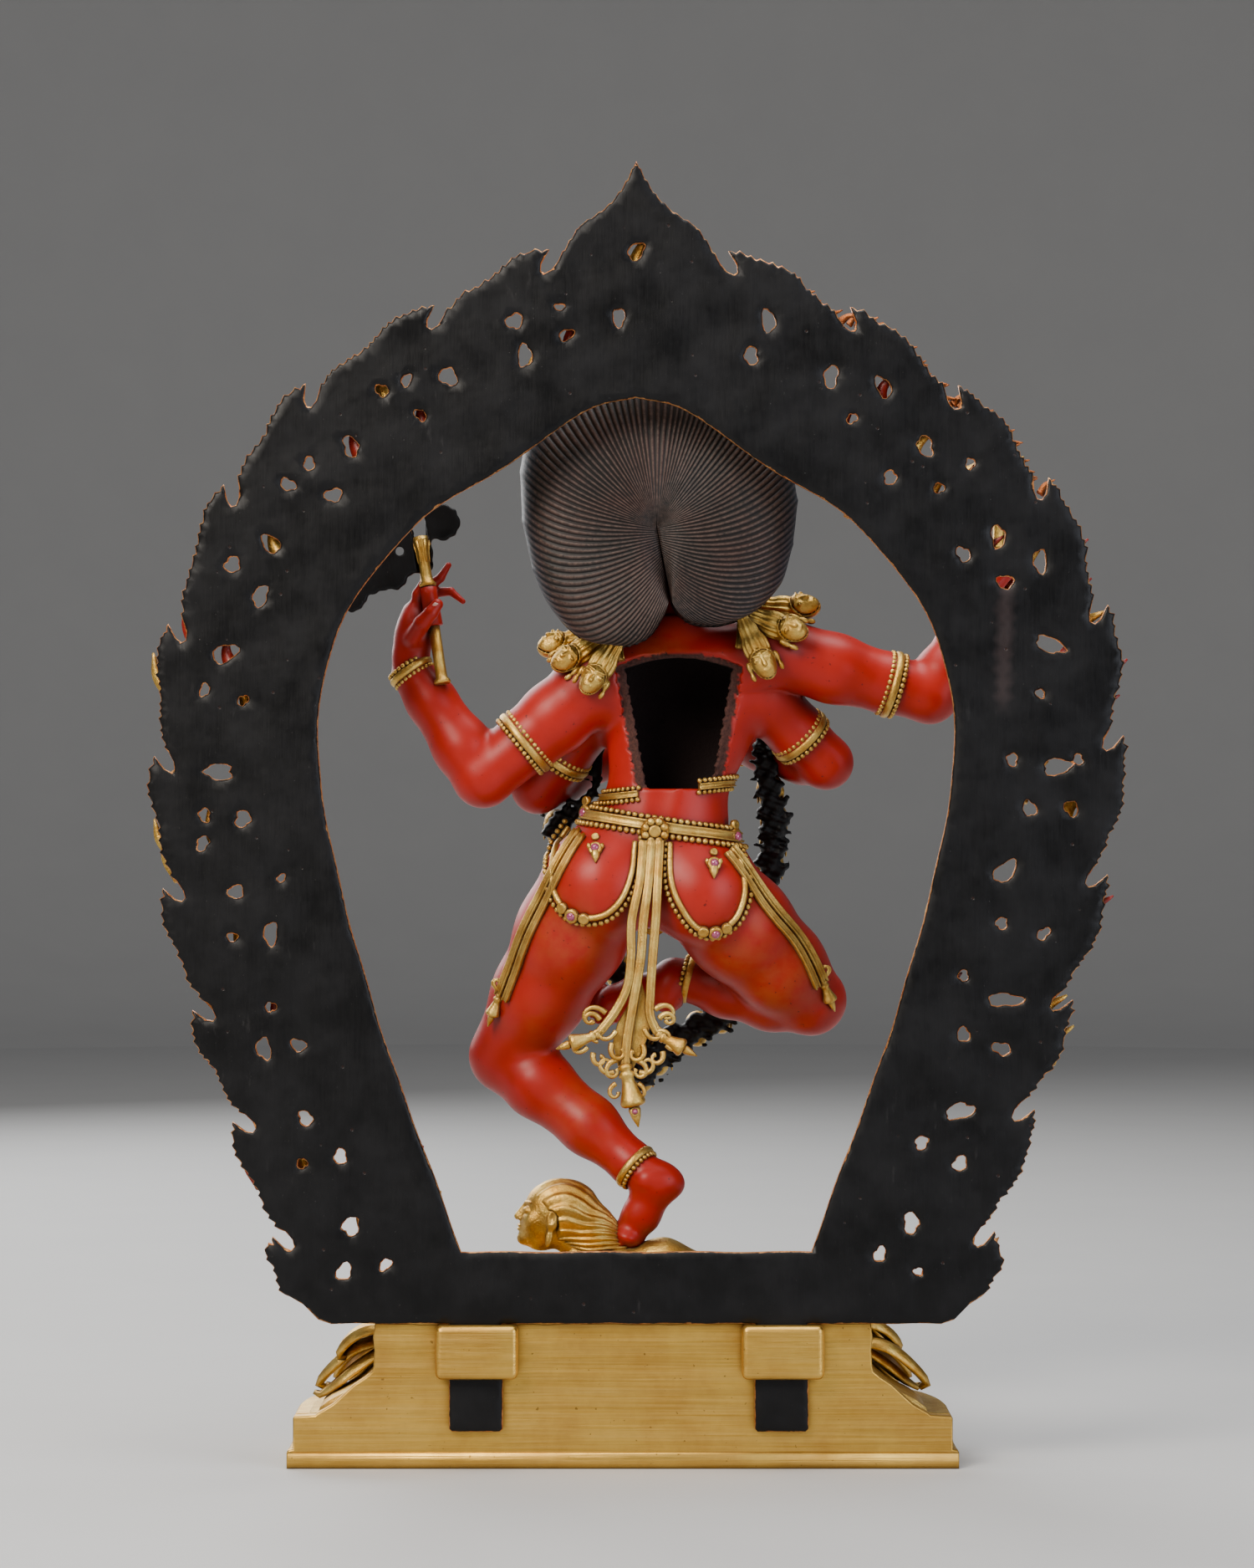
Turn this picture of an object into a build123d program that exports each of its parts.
"""Lost-wax copper statue: a four-armed dancing goddess on a lotus pedestal.

Millimetres, +Z up. The front of the figure faces -Y, her left side is +X. The origin is the
centre of the pedestal's underside. The flame aureole stands behind her on two tangs that drop
through sockets on the pedestal's back; the staff and the elephant goad lift out of her hands.
"""
from build123d import *
from math import cos, pi, radians, sin
import os

os.makedirs("parts", exist_ok=True)

# ---------------------------------------------------------------- driving dimensions
# Pedestal: a D-shaped plan with a flat back.
back_face_y = 40.0          # rear end of the cast shell, where the flat back plate is brazed on
back_plate_thick = 4.8
plan_centre_y = 20.0        # the sides run straight behind this line and curve in front of it
plan_depth_ratio = 0.85     # depth of the front curve over its half-width
flange_half, flange_top = 96.7, 5.3
band_half, band_top = 95.0, 15.0
slope_foot_half, slope_foot_z = 88.0, 15.7
slope_head_half, slope_head_z = 71.8, 27.7
waist_half, waist_z = 64.0, 33.0
crown_half, crown_z = 71.0, 42.0
top_plate_z = 46.0
shell_wall = 3.5
seal_thick = 2.0

# Tangs of the aureole and the sockets that hold them.
tang_left_x, tang_right_x = 42.2, -45.6
tang_width, tang_foot_z = 15.4, 11.0
socket_width, socket_foot_z, socket_top_z = 23.5, 26.4, 41.9
socket_depth = 7.4
fit_gap = 0.15

# Flame aureole: one flat casting.
aureole_x = -3.84           # its centre line
aureole_front_y, aureole_thick = 45.0, 3.0
bar_foot_z, bar_top_z = 42.0, 62.6

# Figure: joint centres.
neck_foot, neck_cut_z = (-16.0, 1.0, 243.0), 247.0
head_centre = (-13.7, -8.0, 267.7)
waist_cut_z = 186.0
staff_foot, staff_top = Vector(53.5, 6, 226.7), Vector(60.5, -0.5, 271)
staff_radius, bore_radius = 1.75, 1.95
goad_foot, goad_top = Vector(-113, -11, 249), Vector(-113, -11, 301)
foot_pin = (-1.0, 0.0)

# A ball at a limb's bend is a little fatter than the limb, and turned so that no seams meet.
ball_swell, ball_turn = 1.04, (17, 28, 9)


def between(a, b, share):
    """Point part of the way from a to b."""
    a, b = Vector(*a), Vector(*b)
    return a + (b - a) * share


def save(part, name):
    """Label a finished piece and write it as its own STEP file."""
    part.label = name
    export_step(part, f"parts/{name}.step")


def limb(*stations):
    """Round tapers through (point, radius) stations, with a ball at each bend."""
    for (a, radius_a), (b, radius_b) in zip(stations, stations[1:]):
        along = Vector(*b) - Vector(*a)
        with BuildSketch(Plane(origin=Vector(*a), z_dir=along)) as foot:
            Circle(radius_a)
        with BuildSketch(Plane(origin=Vector(*b), z_dir=along)) as tip:
            Circle(radius_b)
        loft([foot.sketch, tip.sketch], ruled=True)
    for point, radius in stations[1:-1]:
        with Locations(Location(Vector(*point), ball_turn)):
            Sphere(radius * ball_swell)


def ball(point, radius_x, radius_y=None, radius_z=None):
    """Ellipsoid added to the part under construction."""
    radius_y, radius_z = radius_y or radius_x, radius_z or radius_x
    egg = scale(Sphere(1, mode=Mode.PRIVATE), by=(radius_x, radius_y, radius_z), mode=Mode.PRIVATE)
    add(Pos(*point) * egg)


def body_loft(sections, mode=Mode.ADD):
    """Loft through level ellipses given as (z, x, y, half-width, half-depth)."""
    levels = []
    for z, x, y, half_width, half_depth in sections:
        with BuildSketch(Plane.XY.offset(z)) as level:
            with Locations((x, y)):
                Ellipse(half_width, half_depth)
        levels.append(level.sketch)
    loft(levels, mode=mode)


def ring_on(point, along, inner, outer, width):
    """Flat-sided ring around a limb, centred on a point."""
    with BuildSketch(Plane(origin=Vector(*point), z_dir=along)) as section:
        Circle(outer)
        Circle(inner, mode=Mode.SUBTRACT)
    extrude(section.sketch, amount=width / 2, both=True)


def plan(z, half_width, inset=0.0):
    """D-shaped plan of the pedestal at one level, drawn inside its flat back."""
    wide = half_width - inset
    straight = back_face_y - inset - plan_centre_y
    with BuildSketch(Plane.XY.offset(z)) as level:
        with Locations((0, plan_centre_y)):
            Ellipse(wide, wide * plan_depth_ratio)
        with Locations((0, plan_centre_y + wide)):
            Rectangle(3 * wide, 2 * wide, mode=Mode.SUBTRACT)
        with Locations((0, plan_centre_y + straight / 2)):
            Rectangle(2 * wide, straight)
    return level.sketch


# ================================================================ pedestal
slope_levels = [
    (slope_foot_z, slope_foot_half), (slope_head_z, slope_head_half),
    (waist_z, waist_half), (crown_z, crown_half)]

with BuildPart() as pedestal_shell:
    extrude(plan(0, flange_half), amount=flange_top)
    extrude(plan(flange_top, band_half), amount=band_top - flange_top)
    extrude(plan(band_top, slope_foot_half), amount=slope_foot_z - band_top)
    for (low, low_half), (high, high_half) in zip(slope_levels, slope_levels[1:]):
        loft([plan(low, low_half), plan(high, high_half)], ruled=True)
    extrude(plan(0, band_half, shell_wall), amount=seal_thick, mode=Mode.SUBTRACT)
    extrude(plan(seal_thick, slope_foot_half, shell_wall), amount=slope_foot_z - seal_thick,
            mode=Mode.SUBTRACT)
    loft([plan(slope_foot_z, slope_foot_half, shell_wall), plan(waist_z, waist_half, shell_wall)],
         ruled=True, mode=Mode.SUBTRACT)
    extrude(plan(waist_z, waist_half, shell_wall), amount=crown_z - shell_wall - waist_z,
            mode=Mode.SUBTRACT)
    with Locations((foot_pin[0], foot_pin[1], crown_z)):
        Cylinder(3.1, 3 * shell_wall, mode=Mode.SUBTRACT)

with BuildPart() as seal_plate:
    extrude(plan(0, band_half, shell_wall + 0.1), amount=seal_thick)

with BuildPart() as pedestal_top_plate:
    extrude(plan(crown_z, crown_half + 1.0), amount=top_plate_z - crown_z)
    with Locations((foot_pin[0], foot_pin[1], crown_z)):
        Cylinder(3.1, 12, mode=Mode.SUBTRACT)

back_outline = [
    (0, flange_half), (flange_top, flange_half), (flange_top, band_half), (band_top, band_half),
    (slope_foot_z, slope_foot_half), (21.0, 81.0), (slope_head_z, slope_head_half),
    (socket_top_z, slope_head_half)]
with BuildPart() as pedestal_back_plate:
    with BuildSketch(Plane.XZ.offset(-back_face_y)):
        with BuildLine():
            Polyline([(half, z) for z, half in back_outline]
                     + [(-half, z) for z, half in reversed(back_outline)], close=True)
        make_face()
    extrude(amount=-back_plate_thick)


def petal_row(count, foot_half, foot_z, tip_half, tip_z, thick, turn=0.0):
    """Lotus petals as bent leaves set side by side along the curved front of the pedestal."""
    for step in range(count):
        angle = radians(180 + turn + 180 * (step + 0.5) / count)
        stations = []
        for half, z, radius in ((foot_half, foot_z, thick), (tip_half, tip_z, 0.62 * thick)):
            x, y = half * cos(angle), half * plan_depth_ratio * sin(angle)
            stations.append(((x, plan_centre_y + y, z), radius))
        mid = between(stations[0][0], stations[1][0], 0.55)
        out = Vector(cos(angle), sin(angle), 0.4) * (0.8 * thick)
        limb(stations[0], (tuple(mid + out), 1.15 * thick), stations[1])


petal_count, pearl_count = 15, 51
with BuildPart() as lower_petals:
    petal_row(petal_count, 70, 30, 86, 18.5, 6.2)
with BuildPart() as upper_petals:
    petal_row(petal_count, 64, 35.5, 69, 39.5, 4.0)
with BuildPart() as pearl_rim:
    for bead in range(pearl_count):
        angle = pi + pi * (bead + 0.5) / pearl_count
        rim = crown_half - 1.0
        with Locations((rim * cos(angle), plan_centre_y + rim * plan_depth_ratio * sin(angle),
                        top_plate_z + 1.2)):
            Sphere(1.6)


def socket(tang_x):
    """Box brazed on the back plate, open at both ends for one tang."""
    height = socket_top_z - socket_foot_z
    rear_y = back_face_y + back_plate_thick
    mid_z = (socket_top_z + socket_foot_z) / 2
    with Locations((tang_x - 0.3, rear_y + socket_depth / 2, mid_z)):
        Box(socket_width, socket_depth, height)
    fillet(edges().filter_by(Axis.Z).group_by(Axis.Y)[-1], 1.6)
    with Locations((tang_x, aureole_front_y + aureole_thick / 2, mid_z)):
        Box(tang_width + 2 * fit_gap, aureole_thick + 2 * fit_gap, height + 2, mode=Mode.SUBTRACT)


with BuildPart() as left_tang_socket:
    socket(tang_left_x)
with BuildPart() as right_tang_socket:
    socket(tang_right_x)

# ================================================================ prostrate figure
body_floor_z = top_plate_z + 0.2
with BuildPart() as prostrate_body:
    limb(((13, 0, 57), 5.0), ((2, 0, 54.4), 7.2), ((-16, 1, 54.2), 7.6), ((-30, 1, 53.4), 7.0))
    limb(((-28, 5, 53), 6.2), ((-48, 8, 51.5), 4.6), ((-66, 7, 50.2), 3.4))
    limb(((-28, -4, 53), 6.2), ((-48, -8, 51.5), 4.6), ((-66, -9, 50.2), 3.4))
    limb(((6, 7, 55), 3.6), ((13, 12, 50.4), 3.2), ((28, 6, 50.2), 2.6))
    limb(((6, -7, 55), 3.6), ((13, -12, 50.4), 3.2), ((28, -6, 50.2), 2.6))
    with Locations((0, 0, body_floor_z - 10)):
        Box(200, 80, 20, mode=Mode.SUBTRACT)
    with Locations((foot_pin[0], foot_pin[1], 52)):
        Cylinder(3.1, 40, mode=Mode.SUBTRACT)
with BuildPart() as prostrate_head:
    ball((22.5, 0, 68.2), 8.6, 7.8, 9.4)
    limb(((11, 0, 58), 4.4), ((20, 0, 64), 4.6))
with BuildPart() as prostrate_hair:
    ball((19.0, 0, 70.0), 9.4, 9.0, 9.6)
    limb(((14, 0, 68), 8.0), ((7, 1, 61.5), 6.4), ((1.5, 1.5, 58.5), 4.5))
    add(prostrate_head.part, mode=Mode.SUBTRACT)
    add(prostrate_body.part, mode=Mode.SUBTRACT)
    with Locations((foot_pin[0], foot_pin[1], 62)):
        Cylinder(3.3, 16, mode=Mode.SUBTRACT)

# ================================================================ goddess: body castings
shoulder_ul, elbow_ul, wrist_ul = (10, 2, 225), (41.6, 2, 199), (61.9, -2, 229.7)
shoulder_ur, elbow_ur, wrist_ur = (-42, 4, 235), (-91.4, 0, 223.5), (-105, -6, 246)
shoulder_ll, elbow_ll, wrist_ll = (7.6, -6, 220), (25.7, -17, 196), (0, -38, 208)
shoulder_lr, elbow_lr, wrist_lr = (-41.7, -3, 223), (-61, -12, 203.5), (-35.8, -38, 209)
armlet_ul = between(shoulder_ul, elbow_ul, 0.62)
armlet_ur = between(shoulder_ur, elbow_ur, 0.76)
armlet_ll = between(shoulder_ll, elbow_ll, 0.60)
armlet_lr = between(shoulder_lr, elbow_lr, 0.60)
knee_l, anklet_l = (35.4, -18, 115), (-4, 0, 83.6)
knee_r, anklet_r = (-58, -14, 131), (-20, -20, 138)

torso_sections = [
    (waist_cut_z, -10, 2, 22, 14.5), (193.8, -12.9, 2, 18, 13), (201, -14.5, 2, 18.8, 13.6),
    (210, -16.5, 1, 21.2, 15.5), (221, -17.6, 0.5, 24, 17), (230, -17, 2, 24, 14),
    (237, -16.5, 2, 16, 10.5), (243, -16, 1, 9, 9)]
wall = 3.2
with BuildPart() as upper_body:
    body_loft(torso_sections)
    limb((neck_foot, 9), ((-15.6, 0, neck_cut_z), 8.6))
    with BuildSketch(Plane.XZ.offset(-1)):
        with BuildLine():
            Polyline((-7.4, 196), (-25.8, 196), (-32, 232), (-16, 234), (-0.7, 232), close=True)
        make_face()
    extrude(amount=-40, mode=Mode.SUBTRACT)
    body_loft([(z, x, y, half - wall, deep - wall)
               for z, x, y, half, deep in torso_sections[1:6]], mode=Mode.SUBTRACT)

with BuildPart() as bust:
    for side_x in (-6.5, -28.5):
        with Locations((side_x, -12.0, 219)):
            Sphere(8.8)
    with Locations((-17.5, 0, 219)):
        Box(60, 21, 40, mode=Mode.SUBTRACT)

with BuildPart() as upper_left_arm:
    limb(((0, 2, 228), 12), (shoulder_ul, 12), (tuple(armlet_ul), 9.6))
with BuildPart() as upper_right_arm:
    limb((shoulder_ur, 11.5), (tuple(armlet_ur), 8.9))
with BuildPart() as lower_left_arm:
    limb((shoulder_ll, 10.2), (tuple(armlet_ll), 8.4))
with BuildPart() as lower_right_arm:
    limb((shoulder_lr, 10.2), (tuple(armlet_lr), 8.4))

with BuildPart() as lower_body:
    body_loft([(158, -9, 2, 24, 14), (163, -8.5, 2, 29, 16.5), (170, -8, 2, 30.5, 18),
               (178, -9, 2, 28, 17), (waist_cut_z, -10, 2, 22, 14.5)])
    for side_x, side_z in ((5.5, 165), (-22.5, 163)):
        with Locations(Location((side_x, 8.5, side_z), ball_turn)):
            Sphere(14.5)
    limb(((7.5, 2, 165), 15.5), ((21, -8, 142), 14.6), (knee_l, 10.6), ((21, -11, 104), 9.6),
         (anklet_l, 6.2))
    limb(((-25.6, 2, 163), 15.5), ((-42, -6, 147), 14.2), (knee_r, 10.2), ((-40, -18, 134.5), 9.4),
         (anklet_r, 6.2))

with BuildPart() as standing_foot:
    limb((anklet_l, 6.2), (tuple(between((21, -11, 104), anklet_l, 1.2)), 6.4),
         ((-2.5, 0.5, 66), 5.4), ((5, -1.5, 62.6), 3.2))

with BuildPart() as raised_foot:
    limb((anklet_r, 6.2), (tuple(between((-40, -18, 134.5), anklet_r, 1.25)), 6.4),
         ((2, -23.5, 129), 4.8), ((13, -25, 123), 2.8))

with BuildPart() as foot_tenon:
    with Locations((foot_pin[0], foot_pin[1], 48.6)):
        Cylinder(3.0, 23.2)
with BuildPart() as tenon_nut:
    nut_z = crown_z - shell_wall
    with BuildSketch(Plane.XY.offset(nut_z - 3.2)):
        with Locations(foot_pin):
            RegularPolygon(5.4, 6)
            Circle(3.0, mode=Mode.SUBTRACT)
    extrude(amount=3.2)

# ---------------------------------------------------------------- head and hair
with BuildPart() as head:
    ball(head_centre, 13.6, 14.6, 18.4)
    limb(((-15.6, 0, neck_cut_z), 8.6), ((-14.4, -5, 258), 8.2))
    with BuildSketch(Plane(origin=(head_centre[0], -20.5, 270), z_dir=(0, -0.25, -1))):
        Circle(1.2)
    with BuildSketch(Plane(origin=(head_centre[0], -22.3, 264.5), z_dir=(0, -0.25, -1))):
        Circle(2.2)
    loft()
    for side in (-1, 1):
        limb(((head_centre[0] + side * 13.4, -4, 272), 1.8),
             ((head_centre[0] + side * 14.4, -4, 265), 2.2),
             ((head_centre[0] + side * 14.2, -4.5, 255), 1.6))

hair_centre = (-10.5, 280.0)
hair_outline = [
    (40, 2), (35, -22), (20, -37), (8, -41.5), (-4, -30), (-16, -34), (-31, -29), (-39.5, -8),
    (-39, 15), (-24, 32), (-2, 42), (22, 34), (37, 22)]
hair_layers = [(9, 0.86), (16, 0.98), (22, 1.0), (29, 0.9), (34, 0.62)]
with BuildPart() as hair_fan:
    for y, share in hair_layers:
        with BuildSketch(Plane.XZ.offset(-y)):
            with BuildLine():
                Spline(*[(hair_centre[0] + share * x, hair_centre[1] + share * z)
                         for x, z in hair_outline], periodic=True)
            make_face()
    loft()
    add(head.part, mode=Mode.SUBTRACT)

with BuildPart() as crown:
    crown_plane = Plane(origin=(head_centre[0], -8.5, 275), z_dir=(0, -0.1, 1))
    with BuildSketch(crown_plane):
        Ellipse(15.2, 16.2)
        Ellipse(13.4, 14.4, mode=Mode.SUBTRACT)
    extrude(amount=5)
    for turn in (-64, -32, 0, 32, 64):
        angle = radians(turn - 90)
        foot = (head_centre[0] + 15.0 * cos(angle), -8.5 + 16.0 * sin(angle), 278)
        limb((foot, 3.6), ((foot[0], foot[1], 285), 3.0), ((foot[0], foot[1], 292), 0.8))

with BuildPart() as earrings:
    for side in (-1, 1):
        with Locations(Location((head_centre[0] + side * 16.6, -4.6, 253.5), (0, 90, 0))):
            Torus(4.2, 1.3)

# ---------------------------------------------------------------- arms
with BuildPart() as upper_left_forearm:
    limb((tuple(armlet_ul), 9.6), (elbow_ul, 8.9), (tuple(between(elbow_ul, wrist_ul, 0.45)), 8.3),
         (wrist_ul, 6.3))
with BuildPart() as upper_right_forearm:
    limb((tuple(armlet_ur), 8.9), (elbow_ur, 8.4), (tuple(between(elbow_ur, wrist_ur, 0.45)), 7.6),
         (wrist_ur, 5.8))
with BuildPart() as lower_left_forearm:
    limb((tuple(armlet_ll), 8.4), (elbow_ll, 7.8), (tuple(between(elbow_ll, wrist_ll, 0.45)), 7.2),
         (wrist_ll, 5.6))
with BuildPart() as lower_right_forearm:
    limb((tuple(armlet_lr), 8.4), (elbow_lr, 7.8), (tuple(between(elbow_lr, wrist_lr, 0.45)), 7.2),
         (wrist_lr, 5.6))

collar_radius, goad_length = 2.6, 36.0
staff_axis = (staff_top - staff_foot).normalized()
goad_axis = (goad_top - goad_foot).normalized()


def on_staff(distance):
    """Point on the staff's axis, measured up from its foot."""
    return staff_foot + staff_axis * distance


def on_goad(distance):
    """Point on the goad's axis, measured up from its foot."""
    return goad_foot + goad_axis * distance


def rod(low, high, radius, mode=Mode.ADD):
    """Plain cylinder between two points."""
    with BuildSketch(Plane(origin=low, z_dir=high - low)) as section:
        Circle(radius)
    extrude(section.sketch, amount=(high - low).length, mode=mode)


grip_foot, grip_top, grip_seat = 15.5, 29.5, 21.5
with BuildPart() as upper_left_hand:
    limb((wrist_ul, 6.3), (tuple(Vector(*wrist_ul) + Vector(0.5, -0.6, 5)), 5.6), ((61.5, -4, 245), 5.6),
         ((58.0, -6.5, 253), 3.4), ((53.9, -8, 259), 1.6))
    limb(((61, -4, 243), 4.2), ((52, -3.2, 256.5), 1.9), ((47, -2, 252.5), 1.3))
    rod(on_staff(grip_foot), on_staff(grip_top), 3.4)
    rod(on_staff(-5), on_staff(60), bore_radius, mode=Mode.SUBTRACT)
    rod(on_staff(grip_top), on_staff(60), collar_radius + 0.4, mode=Mode.SUBTRACT)

goad_grip_foot, goad_grip_top, goad_seat = 5.0, 18.0, 10.0
with BuildPart() as upper_right_hand:
    limb((wrist_ur, 5.8), ((-107.5, -7, 251), 5.0), ((-109.5, -8, 259), 5.4))
    limb(((-109, -10, 264), 2.6), ((-113, -15.5, 263), 2.4), ((-117, -11, 262), 2.2))
    limb(((-109, -10, 257), 2.6), ((-113, -15.5, 256.5), 2.4), ((-117, -11, 256), 2.2))
    rod(on_goad(goad_grip_foot), on_goad(goad_grip_top), 3.6)
    rod(on_goad(-5), on_goad(60), bore_radius, mode=Mode.SUBTRACT)
    rod(on_goad(goad_grip_top), on_goad(60), collar_radius + 0.4, mode=Mode.SUBTRACT)

with BuildPart() as lower_left_hand:
    limb((wrist_ll, 5.6), ((-6, -43, 209.5), 5.0), ((-13, -50, 208.5), 4.2), ((-19, -54, 208.5), 2.2))
with BuildPart() as lower_right_hand:
    limb((wrist_lr, 5.6), ((-31, -43, 214), 4.8), ((-24, -49, 219), 4.4), ((-17, -52, 221), 2.4))

cup_centre = (-19, -55.5, 215.5)
with BuildPart() as skull_cup:
    with BuildSketch(Plane.XZ.offset(-cup_centre[1])):
        with BuildLine():
            cup_out = Polyline((0, 208.8), (5, 209.6), (8.6, 213), (9.2, 217.5))
            cup_in = Polyline((7.6, 217.5), (7.0, 213.6), (4.2, 211.2), (0, 210.8))
            Line(cup_out @ 1, cup_in @ 0)
            Line(cup_in @ 1, cup_out @ 0)
        make_face()
    revolve(axis=Axis((0, cup_centre[1], 0), (0, 0, 1)))
skull_cup.part = Pos(cup_centre[0], 0, 1.8) * skull_cup.part

with BuildPart() as chopper:
    with BuildSketch(Plane.XZ.offset(53)):
        with BuildLine():
            ThreePointArc((-28, 226), (-15, 222.6), (-6, 230))
            ThreePointArc((-6, 230), (-14, 227.4), (-28, 226))
        make_face()
    extrude(amount=1.6, both=True)
    limb(((-17, -53, 225), 1.6), ((-17, -53, 236), 1.3), ((-17, -53, 238), 2.0))

# ---------------------------------------------------------------- rings on the limbs
ring_width = 6.4
with BuildPart() as armlets:
    for point, shoulder, elbow, radius in (
            (armlet_ul, shoulder_ul, elbow_ul, 9.7), (armlet_ur, shoulder_ur, elbow_ur, 9.0),
            (armlet_ll, shoulder_ll, elbow_ll, 8.5), (armlet_lr, shoulder_lr, elbow_lr, 8.5)):
        ring_on(point, Vector(*elbow) - Vector(*shoulder), radius, radius + 1.8, ring_width)
with BuildPart() as bracelets:
    for elbow, wrist, radius in ((elbow_ul, wrist_ul, 6.5), (elbow_ur, wrist_ur, 6.0),
                                 (elbow_ll, wrist_ll, 5.8), (elbow_lr, wrist_lr, 5.8)):
        ring_on(wrist, Vector(*wrist) - Vector(*elbow), radius, radius + 1.7, ring_width)
with BuildPart() as anklets:
    for calf, ankle in (((21, -11, 104), anklet_l), ((-40, -18, 134.5), anklet_r)):
        ring_on(ankle, Vector(*ankle) - Vector(*calf), 6.4, 8.2, ring_width)

# ---------------------------------------------------------------- torso and hip ornaments
with BuildPart() as rib_belt:
    with BuildSketch(Plane(origin=(-13.6, 2, 196), z_dir=(0.05, 0, 1))):
        Ellipse(20.0, 15.0)
        Ellipse(18.5, 13.5, mode=Mode.SUBTRACT)
        with Locations((-2.5, 14)):
            Rectangle(21, 16, mode=Mode.SUBTRACT)
    extrude(amount=1.8, both=True)

girdle_plane = Plane(origin=(-9.6, 2, 184.8), z_dir=(-0.15, 0, 1))
with BuildPart() as girdle:
    with BuildSketch(girdle_plane):
        Ellipse(27.2, 17.8)
        Ellipse(25.2, 15.8, mode=Mode.SUBTRACT)
    extrude(amount=2.6, both=True)
with BuildPart() as girdle_rosette:
    with Locations(Location((-9.6, 20.6, 183.6), (90, 0, 0))):
        Cylinder(4.2, 2.6)

swag_radius, swag_wire = 12.5, 1.9
with BuildPart() as girdle_swags:
    for centre_x, top_z in ((12, 177), (-26, 173)):
        with BuildLine() as swag_path:
            ThreePointArc((centre_x - swag_radius, 19, top_z), (centre_x, 22.5, top_z - 19),
                          (centre_x + swag_radius, 17.5, top_z))
        with BuildSketch(Plane(origin=swag_path.line @ 0, z_dir=swag_path.line % 0)):
            Circle(swag_wire)
        sweep(path=swag_path.line)
with BuildPart() as girdle_drops:
    for point in ((8, 23.0, 178), (-27, 22.0, 173.5)):
        ball(point, 2.6, 1.6, 4.0)

tail_depth = 3.0
with BuildPart() as rear_tails:
    with BuildSketch(Plane.XZ.offset(-20.5)):
        with BuildLine():
            Polyline((-4.5, 181.5), (-14.5, 181.5), (-13, 140), (-20, 122), (-12.5, 121), (-6, 108),
                     (-2.9, 94), (3, 108), (8, 121), (21.7, 118), (14, 124), (3, 136),
                     (-3, 150), close=True)
        make_face()
    extrude(amount=-tail_depth)


def sash(points, width):
    """Flat ribbon hanging in straight runs at the side of a hip."""
    for a, b in zip(points, points[1:]):
        run = Vector(*b) - Vector(*a)
        with BuildSketch(Plane(origin=Vector(*a), x_dir=(1, 0, 0), z_dir=run)) as section:
            Rectangle(1.8, width)
        extrude(section.sketch, amount=run.length + 0.6)


with BuildPart() as left_side_sash:
    sash([(17, 4, 186), (29, 0, 168), (36, -4, 148), (42, -8, 130)], 7)
with BuildPart() as right_side_sash:
    sash([(-38, 4, 180), (-48, 0, 167), (-59, -4, 151), (-64, -8, 132)], 7)

with BuildPart() as shoulder_heads:
    for point in ((14, 8, 236), (8.5, 15.5, 229), (-46, 12, 243), (-40, 17, 233)):
        ball(point, 4.6, 4.4, 6.0)

garland_radius, garland_head = 1.7, 4.2
with BuildPart() as head_garland:
    strand = [(-6, -7, 238), (-2, -15, 231), (3, -20, 222), (7, -17.5, 205), (9, -16, 194),
              (20, -20, 182), (8, -36, 152), (-8, -39, 122), (-26, -37, 140), (-44, -26, 175),
              (-45, -22, 190), (-39, -18, 205), (-38, -21, 222), (-33, -15, 231), (-26, -7, 238)]
    limb(*[(point, garland_radius) for point in strand])
    for a, b in zip(strand[5:], strand[6:10]):
        for share in (0.0, 0.34, 0.67):
            with Locations(Location(between(a, b, share), ball_turn)):
                Sphere(garland_head)

with BuildPart() as necklace:
    with Locations(Location((-15.8, 0.4, 241.5), (14, 0, 0))):
        Torus(10.4, 1.6)
with BuildPart() as front_apron:
    with BuildSketch(Plane.XZ.offset(18.5)):
        with BuildLine():
            Polyline((-26, 180), (8, 184), (4, 168), (-9, 150), (-22, 164), close=True)
        make_face()
    extrude(amount=2.4)

# ================================================================ pieces that lift out of the hands
with BuildPart() as staff_handle:
    rod(on_staff(0), on_staff(grip_seat - 0.4), staff_radius)
    rod(on_staff(0), on_staff(1.6), collar_radius)
with BuildPart() as lotus_staff:
    rod(on_staff(grip_seat), on_staff(44.8), staff_radius)
    rod(on_staff(grip_top + 0.3), on_staff(grip_top + 1.8), collar_radius)
    with BuildSketch(Plane(origin=on_staff(36), z_dir=staff_axis)):
        Circle(staff_radius)
    with BuildSketch(Plane(origin=on_staff(44.8), z_dir=staff_axis)):
        Circle(2.7)
    loft()

blossom_y, blossom_thick = 0.5, 3.0
blossom_lobes = [(54, 275, 6.5), (64, 267, 7.5), (73, 259, 7.5), (81, 252, 5.5), (60, 262.5, 3.2)]
with BuildPart() as staff_blossom:
    with BuildSketch(Plane.XZ.offset(-blossom_y)):
        for lobe_x, lobe_z, lobe_radius in blossom_lobes:
            with Locations((lobe_x, lobe_z)):
                Circle(lobe_radius)
        with Locations((66, 262)):
            Circle(1.4, mode=Mode.SUBTRACT)
    extrude(amount=blossom_thick)
    add(lotus_staff.part, mode=Mode.SUBTRACT)

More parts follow.
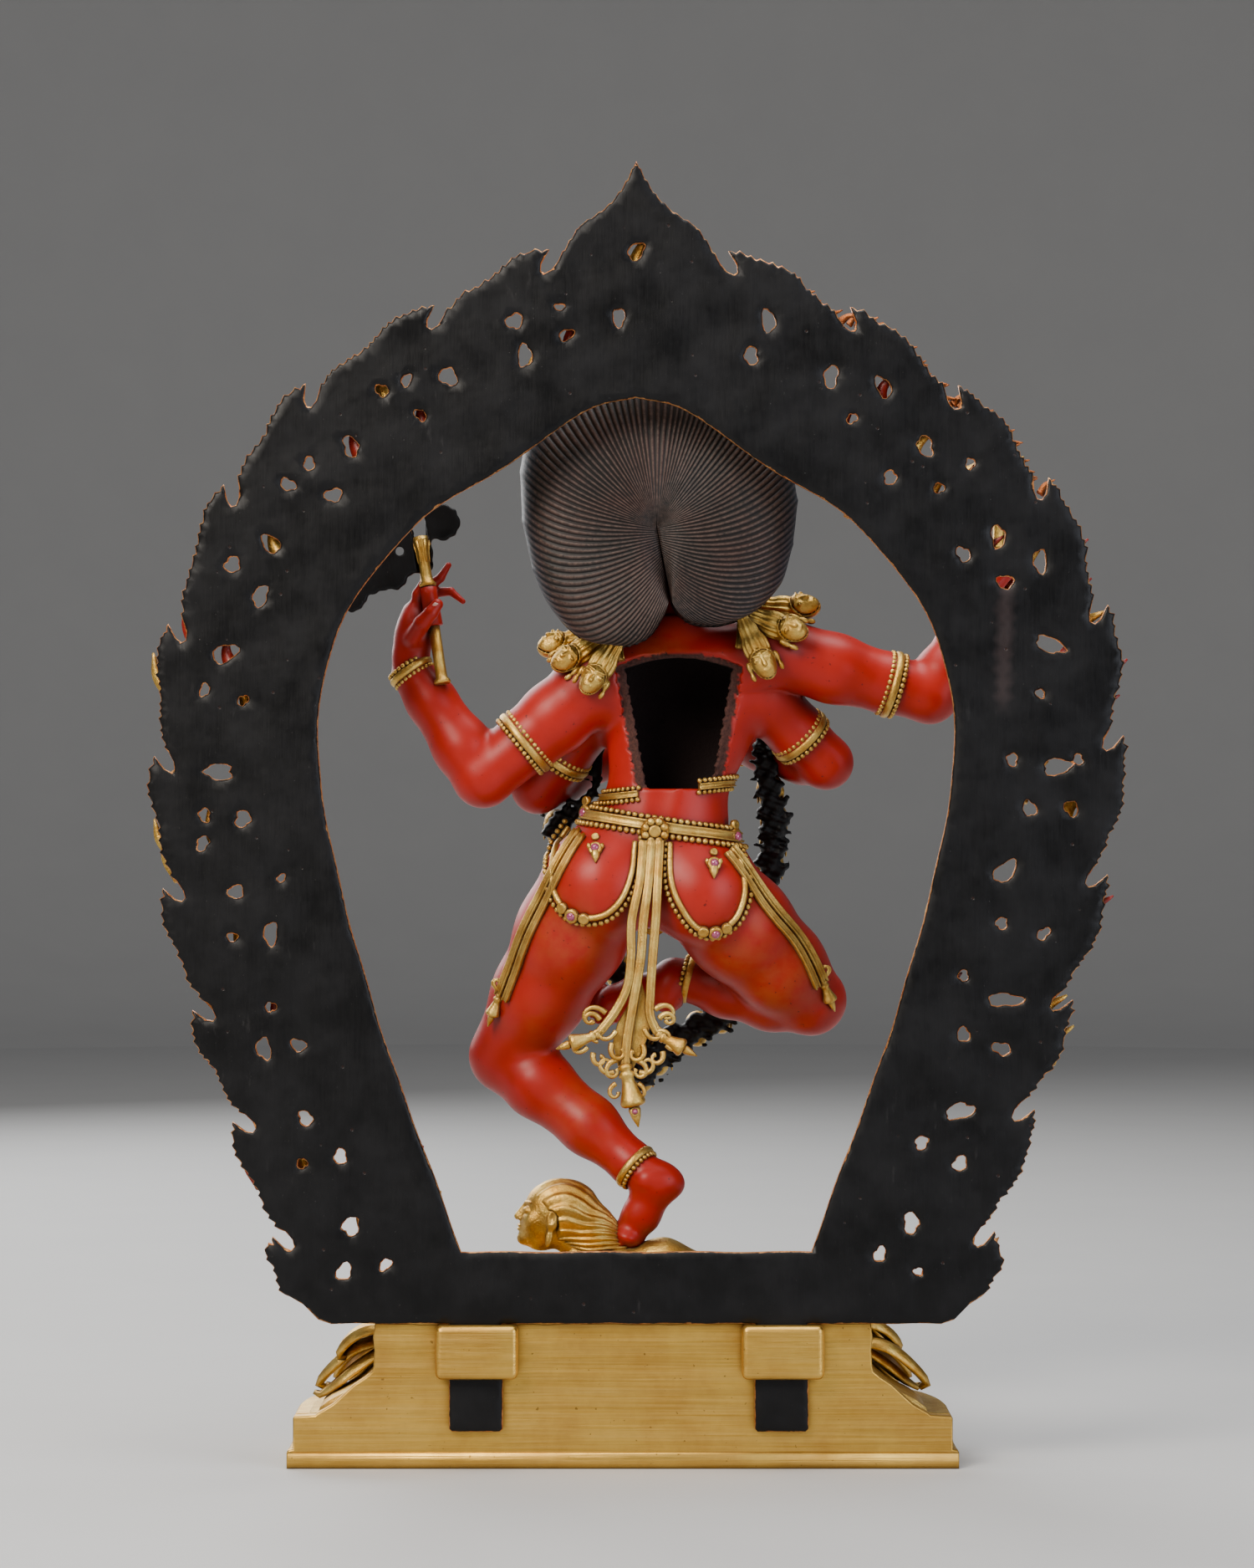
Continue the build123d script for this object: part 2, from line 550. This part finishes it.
with BuildPart() as goad_handle:
    rod(on_goad(0), on_goad(goad_seat - 0.4), staff_radius)
    rod(on_goad(0), on_goad(2.4), collar_radius)
with BuildPart() as goad_shaft:
    rod(on_goad(goad_seat), on_goad(goad_length), staff_radius)
    rod(on_goad(goad_grip_top + 0.3), on_goad(goad_grip_top + 1.8), collar_radius)
with BuildPart() as goad_hook:
    tip_base = on_goad(goad_length)
    limb((tuple(tip_base), 2.6), (tuple(tip_base + Vector(0, 0, 5)), 3.0),
         (tuple(tip_base + Vector(0, 0, 16)), 0.7))
    limb((tuple(tip_base + Vector(0, 0, 3)), 2.0), (tuple(tip_base + Vector(8, 0, 7)), 1.9),
         (tuple(tip_base + Vector(11, 0, 1)), 1.3), (tuple(tip_base + Vector(8, 0, -3)), 0.7))

# ================================================================ flame aureole
# Places are (distance from the centre line, height); the left side is +X.
opening_edge = [(50.2, bar_top_z), (57.8, 83.5), (73.4, 127), (86.6, 175), (91.4, 212),
                (84.2, 244), (62.6, 272), (38.6, 287.5), (14.6, 304), (0, 308)]
flame_tips_left = [(104.5, 67), (116, 100), (127.5, 132), (136, 167), (138.5, 205), (134.5, 243),
                   (118.5, 283), (95, 312), (58, 334.5), (25, 350.5)]
flame_tips_right = [(103, 68.5), (114.5, 103.5), (125.5, 135), (135.5, 171), (140, 211),
                    (135.5, 248.5), (118.5, 285), (92.5, 311.5), (61.5, 334), (26.5, 350)]
apex = (0, 375.8)
round_holes = [
    (0, 350), (5, 331), (22, 334), (35, 330), (20, 326), (66, 313), (73, 310), (62, 303), (94, 289),
    (100, 283), (87, 280), (116, 260), (124, 224), (113, 221), (124, 188), (113, 187), (124.5, 180),
    (102, 170), (115, 166), (116, 153), (105, 133), (97, 122), (95, 101), (96, 88), (85, 90), (72, 59),
    (84, 57), (-33, 320), (-62, 302), (-96, 289), (-73, 285), (-87, 282), (-94, 263), (-106, 255),
    (-116, 223), (-108, 204), (-127, 204), (-113, 190), (-125, 190), (-105, 157), (-117, 154),
    (-94, 142), (-94, 125), (-105, 121), (-93, 88), (-82, 94), (-70, 62), (-81, 57)]
large_holes = [
    (32, 320), (54, 314), (82, 294), (105, 266), (108, 251), (105, 154), (107, 121), (82, 70),
    (-38, 330), (-56, 314), (-71, 311), (-83, 294), (-104, 268), (-116, 261), (-79, 71)]
slot_holes = [(118, 234.5, -30), (120, 200.5, 0), (-119, 237, 30), (-121, 202, 0), (-106, 172, -35),
              (-106, 135, 0), (-93, 103, -20)]
round_hole_radius, large_hole, slot_hole = 2.0, (2.2, 2.9), (4.4, 2.0)


def flame_edge(tips):
    """Rising flame tongues: each bulges outwards, ends in a hooked tip and a narrow notch."""
    edge = [(91.4, bar_foot_z)]
    last = (91.4, bar_foot_z)
    for x, z in tips:
        tongue = (x - 1.6, z - 6.0)
        mid = ((last[0] + tongue[0]) / 2 + 2.0, (last[1] + tongue[1]) / 2)
        edge += [mid, tongue, (x, z), (x - 5.2, z - 2.4)]
        last = (x - 3.2, z + 1.6)
        edge.append(last)
    return edge


with BuildPart() as aureole_plate:
    with BuildSketch(Plane.XZ.offset(-aureole_front_y)):
        left_edge = [(aureole_x + x, z) for x, z in flame_edge(flame_tips_left)]
        right_edge = [(aureole_x - x, z) for x, z in flame_edge(flame_tips_right)]
        with BuildLine():
            Polyline(left_edge + [(aureole_x + apex[0], apex[1])] + right_edge[::-1], close=True)
        make_face()
        with BuildLine():
            Spline(*[(aureole_x + x, z) for x, z in opening_edge])
            Spline(*[(aureole_x - x, z) for x, z in opening_edge])
            Line((aureole_x + opening_edge[0][0], bar_top_z),
                 (aureole_x - opening_edge[0][0], bar_top_z))
        make_face(mode=Mode.SUBTRACT)
        for x, z in round_holes:
            with Locations((aureole_x + x, z)):
                Circle(round_hole_radius, mode=Mode.SUBTRACT)
        for x, z in large_holes:
            with Locations((aureole_x + x, z)):
                Ellipse(*large_hole, mode=Mode.SUBTRACT)
        for x, z, turn in slot_holes:
            with Locations((aureole_x + x, z)):
                Ellipse(*slot_hole, rotation=turn, mode=Mode.SUBTRACT)
        for tang_x in (tang_left_x, tang_right_x):
            with Locations((tang_x, (tang_foot_z + bar_foot_z) / 2)):
                Rectangle(tang_width, bar_foot_z - tang_foot_z + 2)
    extrude(amount=-aureole_thick)

# ================================================================ write every piece
pieces = {
    "pedestal_shell": pedestal_shell, "pedestal_back_plate": pedestal_back_plate,
    "seal_plate": seal_plate, "pedestal_top_plate": pedestal_top_plate,
    "lower_petals": lower_petals, "upper_petals": upper_petals, "pearl_rim": pearl_rim,
    "left_tang_socket": left_tang_socket, "right_tang_socket": right_tang_socket,
    "prostrate_body": prostrate_body, "prostrate_head": prostrate_head,
    "prostrate_hair": prostrate_hair, "upper_body": upper_body, "lower_body": lower_body,
    "upper_left_arm": upper_left_arm, "upper_right_arm": upper_right_arm,
    "lower_left_arm": lower_left_arm, "lower_right_arm": lower_right_arm, "bust": bust,
    "standing_foot": standing_foot, "raised_foot": raised_foot, "foot_tenon": foot_tenon,
    "tenon_nut": tenon_nut, "head": head, "hair_fan": hair_fan, "crown": crown,
    "earrings": earrings, "upper_left_forearm": upper_left_forearm,
    "upper_right_forearm": upper_right_forearm, "lower_left_forearm": lower_left_forearm,
    "lower_right_forearm": lower_right_forearm, "upper_left_hand": upper_left_hand,
    "upper_right_hand": upper_right_hand, "lower_left_hand": lower_left_hand,
    "lower_right_hand": lower_right_hand, "skull_cup": skull_cup, "chopper": chopper,
    "armlets": armlets, "bracelets": bracelets, "anklets": anklets, "rib_belt": rib_belt,
    "girdle": girdle, "girdle_rosette": girdle_rosette, "girdle_swags": girdle_swags,
    "girdle_drops": girdle_drops, "rear_tails": rear_tails, "left_side_sash": left_side_sash,
    "right_side_sash": right_side_sash, "shoulder_heads": shoulder_heads,
    "head_garland": head_garland, "necklace": necklace, "front_apron": front_apron,
    "staff_handle": staff_handle, "lotus_staff": lotus_staff, "staff_blossom": staff_blossom,
    "goad_handle": goad_handle, "goad_shaft": goad_shaft, "goad_hook": goad_hook,
    "aureole_plate": aureole_plate}
for piece_name, piece in pieces.items():
    save(piece.part, piece_name)
